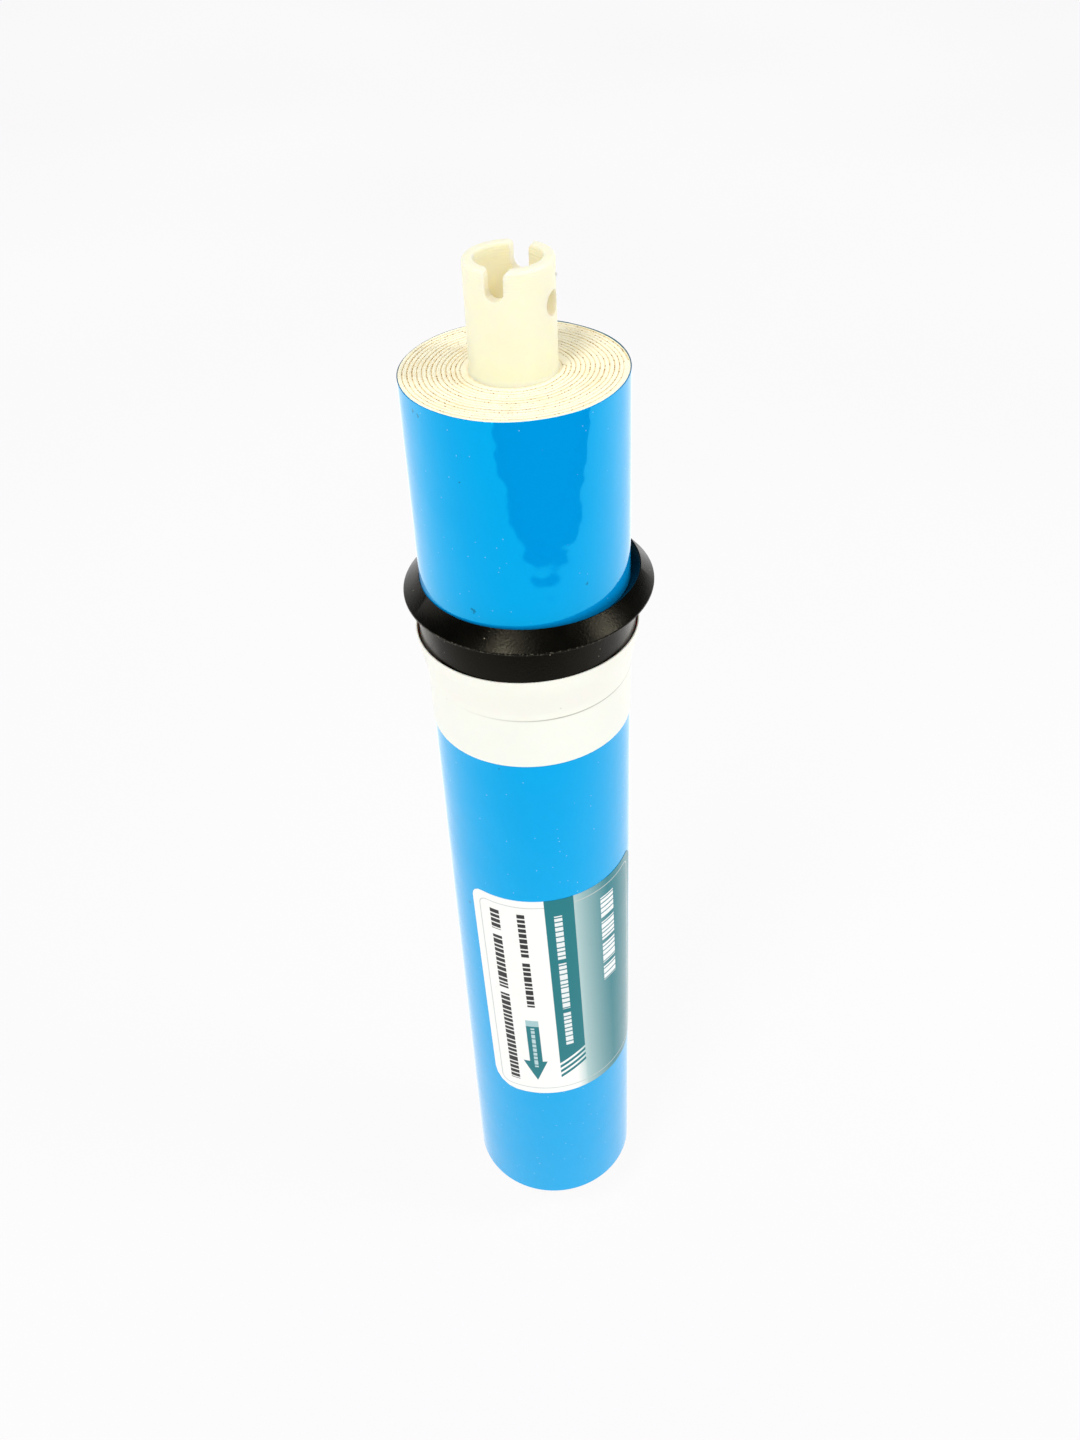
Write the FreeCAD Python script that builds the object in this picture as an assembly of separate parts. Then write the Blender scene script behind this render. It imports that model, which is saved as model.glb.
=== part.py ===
"""Household reverse osmosis membrane cartridge, stood on the spigot of its core tube.

A permeate tube carries the membrane roll: a leaf wound in a spiral, with an open channel between its turns
for the feed water. A blue film holds the roll. A rubber brine seal sits round the film, and white tape holds
the seal's skirt.
Units are millimetres. The origin is the middle of the spigot's foot, and +Z runs up along the tube.
"""
import FreeCAD, Part

import math
import os

# Lengths along the axis
SPIGOT_LEN = 22.0  # from the foot to the roll
ROLL_LEN = 254.0  # wound length, 10 inches
TOP_STUB_LEN = 22.0  # from the roll to the slotted rim

# Permeate tube
STUB_R = 8.65  # 0.68 inch stubs
BORE_R = 6.45
CORE_STEP = 0.25  # the wound length is moulded this much larger than the stubs
LEAD_IN = 0.6  # chamfer at the foot, outside
MOUTH_CHAMFER = 0.4  # chamfer at the foot, inside
RIM_CHAMFER = 0.5  # on the slotted rim, outside
RIM_CHAMFER_INNER = 0.3
WEB_THICK = 3.0  # closed wall between the bore and the cup
CUP_DEPTH = 16.0  # from the rim down to the web

# Slots and holes in the top stub
SLOT_WIDTH = 3.7
SLOT_DEPTH = 5.6
SLOT_ROUND = 1.0  # rounding of the slot's upper corners
SLOT_AZIMUTH = -20.0  # degrees from the front, towards +X
SIDE_HOLE_R = 2.4
SIDE_HOLE_DROP = 8.0  # from the rim to the hole's middle
SIDE_HOLE_AZIMUTH = 66.0

# Holes that let the permeate into the tube, inside the roll
INLET_R = 1.25
INLET_PITCH = 56.0
INLET_END_GAP = 29.0  # from the roll's ends to the first hole at least
INLET_TURN = 90.0  # degrees from one hole to the next

# O-rings on the spigot
ORING_SECTION_R = 0.89
ORING_CROWN = 0.38  # bevels that round off the ring's outer corners
GROOVE_DEPTH = 1.25
GROOVE_WIDTH = 2.4
LOWER_GROOVE_UP = 4.6  # from the foot to the groove's middle
GROOVE_PITCH = 4.6

# Roll
CARRIER_THICK = 0.38  # two turns of knitted permeate carrier on the tube
LEAF_THICK = 0.515  # two membranes glued round a carrier
CHANNEL_WIDTH = 0.42  # feed channel between the leaf's turns
ROLL_R = 22.5
MIN_SKIN = 0.1  # least leaf outside the channel's last turn
WRAP_THICK = 0.2
WRAP_R = ROLL_R + WRAP_THICK

# Brine seal: heights are measured down from the roll's top face
SEAL_DROP = 45.4  # to the seal's highest edge
SEAL_EDGE_R = WRAP_R + 0.8  # inner edge of the cone
SEAL_GROOVE_DEPTH = 1.6  # open groove between the cone and the wrap
LIP_R = 27.3
LIP_FALL = 3.5  # from the highest edge to the lip
LIP_LAND = 0.4  # blunt edge of the lip
LIP_RETURN = 2.0  # underside, from the lip back to the collar
COLLAR_WALL = 1.2
COLLAR_LEN = 14.0  # straight collar and skirt, down from the lip's underside
SKIRT_TAPER = 2.2  # the skirt thins out to an edge on the wrap

# Tape
TAPE_THICK = 0.25  # wound in two turns
TAPE_DROP = 58.7  # from the roll's top face to the tape's upper edge
TAPE_WIDTH = 24.3  # both turns together

# Label: its middle is measured up from the roll's lower face and round from the front
LABEL_THICK = 0.1
LABEL_WIDTH = 49.0
LABEL_HEIGHT = 77.5
LABEL_MIDDLE_UP = 89.0
LABEL_MIDDLE_ARC = 6.5
LABEL_TILT = 2.0  # degrees, lower end towards +X
LABEL_TOP_ROUND = 3.5
LABEL_FOOT_ROUND = 6.5

# Places worked out from the sizes above
CORE_R = STUB_R + CORE_STEP
CARRIER_R = CORE_R + CARRIER_THICK
COLLAR_R = WRAP_R + COLLAR_WALL
ROLL_FOOT_Z = SPIGOT_LEN
ROLL_TOP_Z = ROLL_FOOT_Z + ROLL_LEN
RIM_Z = ROLL_TOP_Z + TOP_STUB_LEN
CUP_FLOOR_Z = RIM_Z - CUP_DEPTH
BORE_END_Z = CUP_FLOOR_Z - WEB_THICK
TURN_PITCH = LEAF_THICK + CHANNEL_WIDTH
UPPER_GROOVE_UP = LOWER_GROOVE_UP + GROOVE_PITCH
GROOVE_R = STUB_R - GROOVE_DEPTH

ORIGIN = FreeCAD.Vector(0, 0, 0)
UP = FreeCAD.Vector(0, 0, 1)


def around(azimuth, radius=1.0, z=0.0):
    """A point at an azimuth in degrees, counted from the front (-Y) towards +X."""
    a = math.radians(azimuth)
    return FreeCAD.Vector(radius * math.sin(a), -radius * math.cos(a), z)


def lathe(outline):
    """Turn a closed outline of (radius, z) points about the axis."""
    points = [FreeCAD.Vector(r, 0, z) for r, z in outline + outline[:1]]
    return Part.Face(Part.makePolygon(points)).revolve(ORIGIN, UP, 360)


def ring(inner, outer, z0, z1):
    """A plain ring between two radii and two heights."""
    return lathe([(inner, z0), (outer, z0), (outer, z1), (inner, z1)])


def groove_steps(z):
    """Outline steps of an O-ring groove round the spigot."""
    z0, z1 = z - GROOVE_WIDTH / 2, z + GROOVE_WIDTH / 2
    return [(STUB_R, z0), (GROOVE_R, z0), (GROOVE_R, z1), (STUB_R, z1)]


def tube_blank():
    """The tube before its slots and holes: bore, web, cup, O-ring grooves and the larger wound length."""
    outline = [(BORE_R + MOUTH_CHAMFER, 0), (STUB_R - LEAD_IN, 0), (STUB_R, LEAD_IN)]
    outline += groove_steps(LOWER_GROOVE_UP)
    outline += groove_steps(UPPER_GROOVE_UP)
    outline += [
        (STUB_R, ROLL_FOOT_Z),
        (CORE_R, ROLL_FOOT_Z),
        (CORE_R, ROLL_TOP_Z),
        (STUB_R, ROLL_TOP_Z),
        (STUB_R, RIM_Z - RIM_CHAMFER),
        (STUB_R - RIM_CHAMFER, RIM_Z),
        (BORE_R + RIM_CHAMFER_INNER, RIM_Z),
        (BORE_R, RIM_Z - RIM_CHAMFER_INNER),
        (BORE_R, CUP_FLOOR_Z),
        (0, CUP_FLOOR_Z),
        (0, BORE_END_Z),
        (BORE_R, BORE_END_Z),
        (BORE_R, MOUTH_CHAMFER),
    ]
    return lathe(outline)


def slot_cutter():
    """Cutter for both slots: round floor, straight sides and upper corners that flare out."""
    half = SLOT_WIDTH / 2
    floor_z = RIM_Z - SLOT_DEPTH + half
    flare_z = RIM_Z - SLOT_ROUND
    wide = half + SLOT_ROUND
    turn = SLOT_ROUND * (1 - math.sqrt(0.5))
    over = RIM_Z + SLOT_ROUND

    def at(x, z):
        return FreeCAD.Vector(x, 0, z)

    edges = [
        Part.Arc(at(-half, floor_z), at(0, floor_z - half), at(half, floor_z)).toShape(),
        Part.LineSegment(at(half, floor_z), at(half, flare_z)).toShape(),
        Part.Arc(at(half, flare_z), at(half + turn, RIM_Z - turn), at(wide, RIM_Z)).toShape(),
        Part.LineSegment(at(wide, RIM_Z), at(wide, over)).toShape(),
        Part.LineSegment(at(wide, over), at(-wide, over)).toShape(),
        Part.LineSegment(at(-wide, over), at(-wide, RIM_Z)).toShape(),
        Part.Arc(at(-wide, RIM_Z), at(-half - turn, RIM_Z - turn), at(-half, flare_z)).toShape(),
        Part.LineSegment(at(-half, flare_z), at(-half, floor_z)).toShape(),
    ]
    reach = 2 * STUB_R
    cutter = Part.Face(Part.Wire(edges)).extrude(FreeCAD.Vector(0, 2 * reach, 0))
    cutter.translate(FreeCAD.Vector(0, -reach, 0))
    cutter.rotate(ORIGIN, UP, SLOT_AZIMUTH)
    return cutter


def wall_hole(radius, azimuth, z):
    """A round cutter through one side of the tube."""
    return Part.makeCylinder(radius, 2 * CORE_R, FreeCAD.Vector(0, 0, z), around(azimuth))


def inlet_heights():
    """Heights of the inlet holes, evenly spaced about the middle of the roll."""
    gaps = max(int((ROLL_LEN - 2 * INLET_END_GAP) / INLET_PITCH), 0)
    middle = ROLL_FOOT_Z + ROLL_LEN / 2
    return [middle + (i - gaps / 2) * INLET_PITCH for i in range(gaps + 1)]


def permeate_tube():
    cutters = [slot_cutter()]
    for azimuth in (SIDE_HOLE_AZIMUTH, SIDE_HOLE_AZIMUTH + 180):
        cutters.append(wall_hole(SIDE_HOLE_R, azimuth, RIM_Z - SIDE_HOLE_DROP))
    for i, z in enumerate(inlet_heights()):
        cutters.append(wall_hole(INLET_R, INLET_TURN * i, z))
    return tube_blank().cut(Part.makeCompound(cutters)).Solids[0]


def o_ring(z):
    """A ring on its groove's floor. Its section is square at the floor and bevelled at the crown."""
    low, high = z - ORING_SECTION_R, z + ORING_SECTION_R
    crown = GROOVE_R + 2 * ORING_SECTION_R
    return lathe([
        (GROOVE_R, low),
        (crown - ORING_CROWN, low),
        (crown, low + ORING_CROWN),
        (crown, high - ORING_CROWN),
        (crown - ORING_CROWN, high),
        (GROOVE_R, high),
    ])


def channel_half_turns():
    """How many half turns of channel fit between the first layer of leaf and the roll's skin."""
    start = CARRIER_R + LEAF_THICK + CHANNEL_WIDTH
    return int((ROLL_R - MIN_SKIN - start) / (TURN_PITCH / 2))


def channel_wire():
    """Outline of the feed channel on the end face: half circles about two centres, half a pitch apart.

    The front halves have the axis as their centre. The back halves are shifted by half a pitch, so each one
    starts where the front half ends and comes back to +X one pitch further out.
    """
    shift = TURN_PITCH / 2

    def half_turn(i, extra):
        back = i % 2
        radius = CARRIER_R + LEAF_THICK + extra + i * shift
        middle_x = shift * back
        side = 1 if back else -1
        first = FreeCAD.Vector(middle_x - side * radius, 0, 0)
        bulge = FreeCAD.Vector(middle_x, side * radius, 0)
        last = FreeCAD.Vector(middle_x + side * radius, 0, 0)
        return first, bulge, last

    count = channel_half_turns()
    inside = [half_turn(i, 0) for i in range(count)]
    outside = [half_turn(i, CHANNEL_WIDTH) for i in range(count)]
    edges = [Part.Arc(*points).toShape() for points in inside]
    edges.append(Part.LineSegment(inside[-1][2], outside[-1][2]).toShape())
    edges += [Part.Arc(*reversed(points)).toShape() for points in reversed(outside)]
    edges.append(Part.LineSegment(outside[0][0], inside[0][0]).toShape())
    return Part.Wire(edges)


def membrane_roll():
    """The wound leaf, all its turns in one solid: a thick ring with the spiral feed channel left open."""
    rims = [Part.Wire(Part.makeCircle(r, ORIGIN, UP)) for r in (ROLL_R, CARRIER_R)]
    face = Part.makeFace(rims + [channel_wire()], "Part::FaceMakerBullseye")
    face.translate(FreeCAD.Vector(0, 0, ROLL_FOOT_Z))
    return face.extrude(FreeCAD.Vector(0, 0, ROLL_LEN)).Solids[0]


def below_top(drop):
    return ROLL_TOP_Z - drop


def seal_heights():
    """Heights of the seal's edge, lip, lip underside, collar, skirt end and skirt tip."""
    edge = below_top(SEAL_DROP)
    lip = edge - LIP_FALL
    under = lip - LIP_LAND
    collar = under - LIP_RETURN
    taper = collar - COLLAR_LEN
    return edge, lip, under, collar, taper, taper - SKIRT_TAPER


def brine_seal():
    """Rubber ring: an open groove at the wrap, a cone out to the lip, then a collar and a thin skirt."""
    edge, lip, under, collar, taper, tip = seal_heights()
    return lathe([
        (WRAP_R, tip),
        (WRAP_R, edge - SEAL_GROOVE_DEPTH),
        (SEAL_EDGE_R, edge),
        (LIP_R, lip),
        (LIP_R, under),
        (COLLAR_R, collar),
        (COLLAR_R, taper),
    ])


def seal_tape():
    """White tape over the seal's collar and skirt, and on to the wrap."""
    _, _, _, _, taper, tip = seal_heights()
    top = below_top(TAPE_DROP)
    seat = [(WRAP_R, top - TAPE_WIDTH), (WRAP_R, tip), (COLLAR_R, taper), (COLLAR_R, top)]
    skin = [(r + TAPE_THICK, z) for r, z in reversed(seat)]
    return lathe(seat + skin)


def label_spot(s, t, radius=WRAP_R):
    """Where a point of the flat label comes on the wrap, and the label's two directions there.

    The point is s along the label's width and t along its height, from its middle, before the tilt.
    """
    tilt = math.radians(LABEL_TILT)
    arc = LABEL_MIDDLE_ARC + s * math.cos(tilt) - t * math.sin(tilt)
    z = ROLL_FOOT_Z + LABEL_MIDDLE_UP + s * math.sin(tilt) + t * math.cos(tilt)
    azimuth = math.degrees(arc / WRAP_R)
    tangent = around(azimuth + 90)
    along = tangent * math.cos(tilt) + UP * math.sin(tilt)
    above = UP * math.cos(tilt) - tangent * math.sin(tilt)
    return around(azimuth, radius, z), along, above


def past_plane(point, outwards):
    """A block that takes away everything past a plane."""
    size = 3 * LABEL_HEIGHT
    block = Part.makeBox(size, size, size, FreeCAD.Vector(-size / 2, -size / 2, 0))
    block.Placement = FreeCAD.Placement(point, FreeCAD.Rotation(UP, outwards))
    return block


def label_corner(side, end, radius):
    """A cutter for one corner of the label: a square past the rounding's middle, less the round."""
    s = side * (LABEL_WIDTH / 2 - radius)
    t = end * (LABEL_HEIGHT / 2 - radius)
    depth = radius + LABEL_THICK
    middle, along, above = label_spot(s, t, WRAP_R - depth)
    far = 2 * radius
    points = [middle, middle + along * side * far, middle + along * side * far + above * end * far]
    points += [middle + above * end * far, middle]
    outwards = along.cross(above)
    reach = outwards * (2 * depth)
    square = Part.Face(Part.makePolygon(points)).extrude(reach)
    return square.cut(Part.makeCylinder(radius, 2 * depth, middle, outwards))


def label():
    """Thin sheet round the wrap: a ring cut by four planes, then by a cutter at each corner."""
    middle_z = ROLL_FOOT_Z + LABEL_MIDDLE_UP
    blank = ring(WRAP_R, WRAP_R + LABEL_THICK, middle_z - LABEL_HEIGHT, middle_z + LABEL_HEIGHT)
    cutters = []
    for side in (-1, 1):
        point, along, _ = label_spot(side * LABEL_WIDTH / 2, 0)
        cutters.append(past_plane(point, along * side))
        point, _, above = label_spot(0, side * LABEL_HEIGHT / 2)
        cutters.append(past_plane(point, above * side))
        cutters.append(label_corner(side, 1, LABEL_TOP_ROUND))
        cutters.append(label_corner(side, -1, LABEL_FOOT_ROUND))
    for cutter in cutters:
        blank = blank.cut(cutter)
    return blank.Solids[0]


PARTS = {
    "permeate_tube": permeate_tube(),
    "o_ring_lower": o_ring(LOWER_GROOVE_UP),
    "o_ring_upper": o_ring(UPPER_GROOVE_UP),
    "permeate_carrier": ring(CORE_R, CARRIER_R, ROLL_FOOT_Z, ROLL_TOP_Z),
    "membrane_roll": membrane_roll(),
    "outer_wrap": ring(ROLL_R, WRAP_R, ROLL_FOOT_Z, ROLL_TOP_Z),
    "brine_seal": brine_seal(),
    "seal_tape": seal_tape(),
    "label": label(),
}

os.makedirs("parts", exist_ok=True)
for name, shape in PARTS.items():
    print(name, "valid", shape.isValid(), "solids", len(shape.Solids), "volume mm3", round(shape.Volume, 1))
    shape.exportStep("parts/" + name + ".step")
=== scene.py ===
"""Looks of a household membrane cartridge, stood on its core tube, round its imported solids. Metres, +Z up."""

import math
import random

import bmesh
import bpy
from mathutils import Matrix, Vector


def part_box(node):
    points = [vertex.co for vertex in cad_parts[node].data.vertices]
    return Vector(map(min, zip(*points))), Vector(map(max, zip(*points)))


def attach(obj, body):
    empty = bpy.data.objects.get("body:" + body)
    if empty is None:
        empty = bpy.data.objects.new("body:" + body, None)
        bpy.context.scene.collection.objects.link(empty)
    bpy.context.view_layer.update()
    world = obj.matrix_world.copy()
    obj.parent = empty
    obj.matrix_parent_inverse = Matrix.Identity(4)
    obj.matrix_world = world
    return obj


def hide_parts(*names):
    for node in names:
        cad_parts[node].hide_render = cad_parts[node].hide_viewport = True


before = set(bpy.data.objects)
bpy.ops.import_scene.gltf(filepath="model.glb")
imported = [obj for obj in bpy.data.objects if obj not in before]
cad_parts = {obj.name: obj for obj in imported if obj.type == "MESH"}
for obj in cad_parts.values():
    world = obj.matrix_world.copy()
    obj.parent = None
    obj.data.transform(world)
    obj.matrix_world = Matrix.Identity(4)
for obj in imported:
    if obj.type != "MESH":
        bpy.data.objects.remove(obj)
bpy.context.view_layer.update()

MM = 0.001


# Sizes in millimetres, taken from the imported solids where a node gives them
def foot_of(node):
    """The lowest height of a node."""
    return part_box(node)[0].z / MM


def top_of(node):
    """The greatest height of a node."""
    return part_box(node)[1].z / MM


def radius_of(node):
    """How far a node reaches from the axis."""
    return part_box(node)[1].x / MM


RIM_Z = top_of("permeate_tube")
FACE_Z = top_of("membrane_roll")
FOOT_Z = foot_of("membrane_roll")
SEAL_Z = top_of("brine_seal")
SKIRT_Z = foot_of("brine_seal")
TAPE_TOP_Z = top_of("seal_tape")
TAPE_FOOT_Z = foot_of("seal_tape")
CORE_R = radius_of("permeate_tube")
CARRIER_R = radius_of("permeate_carrier")
ROLL_R = radius_of("membrane_roll")
WRAP_R = radius_of("outer_wrap")
LIP_R = radius_of("brine_seal")
COLLAR_WALL = 1.2
COLLAR_R = WRAP_R + COLLAR_WALL
STUB_R = 8.65
BORE_R = 6.45


# Node and material helpers
def linear(code):
    """An sRGB hex colour as linear RGBA."""
    parts = [int(code[i:i + 2], 16) / 255 for i in (1, 3, 5)]
    return tuple(c / 12.92 if c <= 0.04045 else ((c + 0.055) / 1.055) ** 2.4 for c in parts) + (1.0,)


def plug(node, inputs):
    """Give sockets their values. A value that is a node feeds the socket from its first output in use."""
    for socket, value in inputs.items():
        if isinstance(value, bpy.types.Node):
            value = next(out for out in value.outputs if out.enabled)
        if isinstance(value, bpy.types.NodeSocket):
            node.id_data.links.new(value, node.inputs[socket])
        else:
            node.inputs[socket].default_value = value


def add(tree, kind, inputs=None, **settings):
    """Add a node with its settings and links."""
    made = tree.nodes.new("ShaderNode" + kind)
    for name, value in settings.items():
        setattr(made, name, value)
    plug(made, inputs or {})
    return made


def start_material(name, inputs):
    """A material, its node tree, its shader with the uniform values set, and its place in millimetres."""
    mat = bpy.data.materials.new(name)
    mat.use_nodes = True
    tree = mat.node_tree
    shader = tree.nodes["Principled BSDF"]
    plug(shader, inputs)
    coords = add(tree, "TexCoord").outputs["Object"]
    where = add(tree, "VectorMath", {0: coords, "Scale": 1 / MM}, operation="SCALE")
    return mat, tree, shader, where


def specks(tree, where, spacing, size, share):
    """Scattered dots in millimetres: 1 inside a dot. share is how many of the cells hold one."""
    cells = add(tree, "TexVoronoi", {"Vector": where, "Scale": 1 / spacing})
    near = add(tree, "Math", {0: cells.outputs["Distance"], 1: size / spacing / 2}, operation="LESS_THAN")
    pick = add(tree, "SeparateColor", {"Color": cells.outputs["Color"]})
    kept = add(tree, "Math", {0: pick, 1: share}, operation="LESS_THAN")
    return add(tree, "Math", {0: near, 1: kept}, operation="MULTIPLY")


def nicks(tree, where, spots):
    """Ragged little marks at (azimuth, z, length) on the film, leaning a little."""
    rough = add(tree, "TexNoise", {"Vector": where, "Scale": 2.2, "Detail": 3.0})
    total = 0.0
    for azimuth, z, length in spots:
        angle = math.radians(azimuth)
        middle = (WRAP_R * math.sin(angle), -WRAP_R * math.cos(angle), z)
        away = add(tree, "VectorMath", {0: where, 1: middle}, operation="DISTANCE")
        ragged = add(tree, "Math", {0: rough, 1: 2.4 * length, 2: -0.75 * length}, operation="MULTIPLY_ADD")
        left = add(tree, "Math", {0: ragged, 1: away.outputs["Value"]}, operation="SUBTRACT")
        mark = add(tree, "MapRange", {"Value": left, "From Max": 0.2 * length, "To Max": 0.7})
        total = add(tree, "Math", {0: mark, 1: total}, operation="MAXIMUM")
    return total


# Mesh helpers
ARC_STEP = math.radians(22)
HOLD = 0.03


def rounded(outline, hold=0.0):
    """Points of a closed outline. A third number rounds a corner, and hold adds a point beside each arc."""
    points = []
    for i, corner in enumerate(outline):
        here = Vector(corner[:2])
        radius = corner[2] if len(corner) > 2 else 0
        if not radius:
            points.append(here)
            continue
        back = (Vector(outline[i - 1][:2]) - here).normalized()
        ahead = (Vector(outline[(i + 1) % len(outline)][:2]) - here).normalized()
        half = back.angle(ahead) / 2
        reach = radius / math.tan(half)
        centre = here + (back + ahead).normalized() * radius / math.sin(half)
        first, last = here + back * reach - centre, here + ahead * reach - centre
        sweep = first.angle_signed(last)
        steps = max(2, round(abs(sweep) / ARC_STEP))
        arc = [centre + Matrix.Rotation(-sweep * k / steps, 2) @ first for k in range(steps + 1)]
        if hold:
            arc = [arc[0] + back * hold] + arc + [arc[-1] + ahead * hold]
        points += arc
    return points


def lathe(outline, steps=192):
    """Spin a closed section of (radius, z) points in millimetres about the axis."""
    bm = bmesh.new()
    ring = [bm.verts.new((p.x * MM, 0, p.y * MM)) for p in rounded(outline, HOLD)]
    edges = [bm.edges.new((a, b)) for a, b in zip(ring, ring[1:] + ring[:1])]
    bmesh.ops.spin(bm, geom=ring + edges, cent=(0, 0, 0), axis=(0, 0, 1), angle=2 * math.pi, steps=steps,
                   use_merge=True, use_duplicate=False)
    bmesh.ops.remove_doubles(bm, verts=bm.verts, dist=1e-7)
    return bm


def take_in(bm, other):
    """Add another bmesh to this one and free it."""
    mesh = bpy.data.meshes.new("part")
    other.to_mesh(mesh)
    other.free()
    bm.from_mesh(mesh)
    bpy.data.meshes.remove(mesh)


def finish_piece(bm, name, mat, nodes=(), sharp=30.0):
    """Turn a bmesh into a piece that rides on the cartridge and stands for the nodes."""
    bmesh.ops.recalc_face_normals(bm, faces=bm.faces)
    mesh = bpy.data.meshes.new(name)
    bm.to_mesh(mesh)
    bm.free()
    mesh.shade_smooth()
    mesh.set_sharp_from_angle(angle=math.radians(sharp))
    piece = bpy.data.objects.new(name, mesh)
    bpy.context.scene.collection.objects.link(piece)
    piece.data.materials.append(mat)
    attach(piece, "root")
    if nodes:
        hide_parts(*nodes)
    return piece


def ease(value, low, high):
    """Rises smoothly from 0 to 1 between two values."""
    t = min(max((value - low) / (high - low), 0.0), 1.0)
    return t * t * (3 - 2 * t)


def reshape(bm, move):
    """Move each vertex by move(radius, azimuth, z). Azimuth is in degrees, from the front (-Y) to +X."""
    for v in bm.verts:
        radius = math.hypot(v.co.x, v.co.y)
        azimuth = math.degrees(math.atan2(v.co.x, -v.co.y))
        new_radius, new_z = move(radius / MM, azimuth, v.co.z / MM)
        scale = new_radius * MM / radius
        v.co = (v.co.x * scale, v.co.y * scale, new_z * MM)


# Materials
def abs_cream():
    """Injection moulded ABS in cream: light sinks in a little, and the satin skin has fine mould texture."""
    mat, tree, shader, where = start_material("abs_moulded_cream", {
        "IOR": 1.5,
        "Subsurface Weight": 0.55,
        "Subsurface Scale": 0.005,
        "Subsurface Radius": (1.0, 0.76, 0.4),
    })
    z = add(tree, "SeparateXYZ", {"Vector": where}).outputs["Z"]
    # Painted warm shade on the tube, rising towards the face where the tube meets the roll
    painted_foot_shade = add(tree, "MapRange", {"Value": z, "From Min": FACE_Z + 6, "From Max": FACE_Z, "To Max": 0.6},
               interpolation_type="SMOOTHSTEP")
    warm = add(tree, "Mix", {"Factor": painted_foot_shade, 6: linear("#FFF9DE"), 7: linear("#FFF5CA")}, data_type="RGBA")
    cloud = add(tree, "TexNoise", {"Vector": where, "Scale": 1 / 7})
    cloudy = add(tree, "Mix", {"Factor": cloud, 6: warm, 7: linear("#FFF8D4")}, data_type="RGBA")
    # Painted light: warmer down in the cup and its cuts, for the light that comes through the wall
    flat = add(tree, "VectorMath", {0: where, 1: (1, 1, 0)}, operation="MULTIPLY")
    reach = add(tree, "VectorMath", {0: flat}, operation="LENGTH")
    within = add(tree, "Math", {0: reach.outputs["Value"], 1: STUB_R - 0.3}, operation="LESS_THAN")
    below = add(tree, "MapRange", {"Value": z, "From Min": RIM_Z - 0.5, "From Max": RIM_Z - 3})
    painted_cup_glow = add(tree, "Math", {0: within, 1: below}, operation="MULTIPLY")
    warmed = add(tree, "Mix", {"Factor": painted_cup_glow, 6: cloudy, 7: linear("#FFF4D7")}, data_type="RGBA")
    dirt = add(tree, "Math", {0: specks(tree, where, 4.0, 0.35, 0.05), 1: 0.5}, operation="MULTIPLY")
    colour = add(tree, "Mix", {"Factor": dirt, 6: warmed, 7: linear("#B29468")}, data_type="RGBA")
    patchy = add(tree, "TexNoise", {"Vector": where, "Scale": 1 / 2.5})
    rough = add(tree, "MapRange", {"Value": patchy, "To Min": 0.34, "To Max": 0.5})
    grain = add(tree, "TexNoise", {"Vector": where, "Scale": 1 / 0.7, "Detail": 4.0})
    turned = add(tree, "TexWave", {"Vector": where, "Scale": 0.55, "Distortion": 2.0}, bands_direction="Z")
    under_rim = add(tree, "MapRange", {"Value": z, "From Min": RIM_Z - 6, "From Max": RIM_Z - 2,
                                       "To Max": 1.5})
    rings = add(tree, "Math", {0: turned, 1: under_rim}, operation="MULTIPLY")
    height = add(tree, "Math", {0: grain, 1: rings}, operation="ADD")
    skin = add(tree, "Bump", {"Height": height, "Distance": 0.03 * MM})
    plug(shader, {"Base Color": colour, "Roughness": rough, "Normal": skin})
    return mat


def end_reach(tree, where, deep, shallow):
    """Rises from 0 to 1 between two depths under either end face of the roll."""
    middle = (FACE_Z + FOOT_Z) / 2
    z = add(tree, "SeparateXYZ", {"Vector": where}).outputs["Z"]
    from_middle = add(tree, "Math", {0: z, 1: middle}, operation="SUBTRACT")
    reach = add(tree, "Math", {0: from_middle}, operation="ABSOLUTE")
    half = FACE_Z - middle
    return add(tree, "MapRange", {"Value": reach, "From Min": half - deep, "From Max": half - shallow},
               interpolation_type="SMOOTHSTEP")


def leaf_paper():
    """Cut edge of a wound polyester-backed sheet: dry, fibrous and cream, with painted shade down in the
    channel.
    """
    mat, tree, shader, where = start_material("leaf_cut_polyester", {"Roughness": 0.85, "IOR": 1.45})
    fibres = add(tree, "TexNoise", {"Vector": where, "Scale": 1 / 0.28, "Detail": 4.0})
    pale = add(tree, "MapRange", {"Value": fibres, "From Min": 0.3, "From Max": 0.7},
               interpolation_type="SMOOTHSTEP")
    cut = add(tree, "Mix", {"Factor": pale, 6: linear("#FFF5D2"), 7: linear("#FFFDEA")}, data_type="RGBA")
    wet = add(tree, "TexNoise", {"Vector": where, "Scale": 1 / 6})
    stain = add(tree, "MapRange", {"Value": wet, "From Min": 0.5, "From Max": 0.75, "To Max": 0.5})
    patches = add(tree, "Mix", {"Factor": stain, 6: cut, 7: linear("#FAEBC2")}, data_type="RGBA")
    # Painted shade: the leaf is a little darker down in the channel than at the cut face
    colour = add(tree, "Mix", {"Factor": end_reach(tree, where, 0.7, 0.06), 6: linear("#FFF2CE"), 7: patches},
                 data_type="RGBA")
    fuzz = add(tree, "Bump", {"Height": fibres, "Distance": 0.08 * MM})
    plug(shader, {"Base Color": colour, "Normal": fuzz})
    return mat


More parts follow.
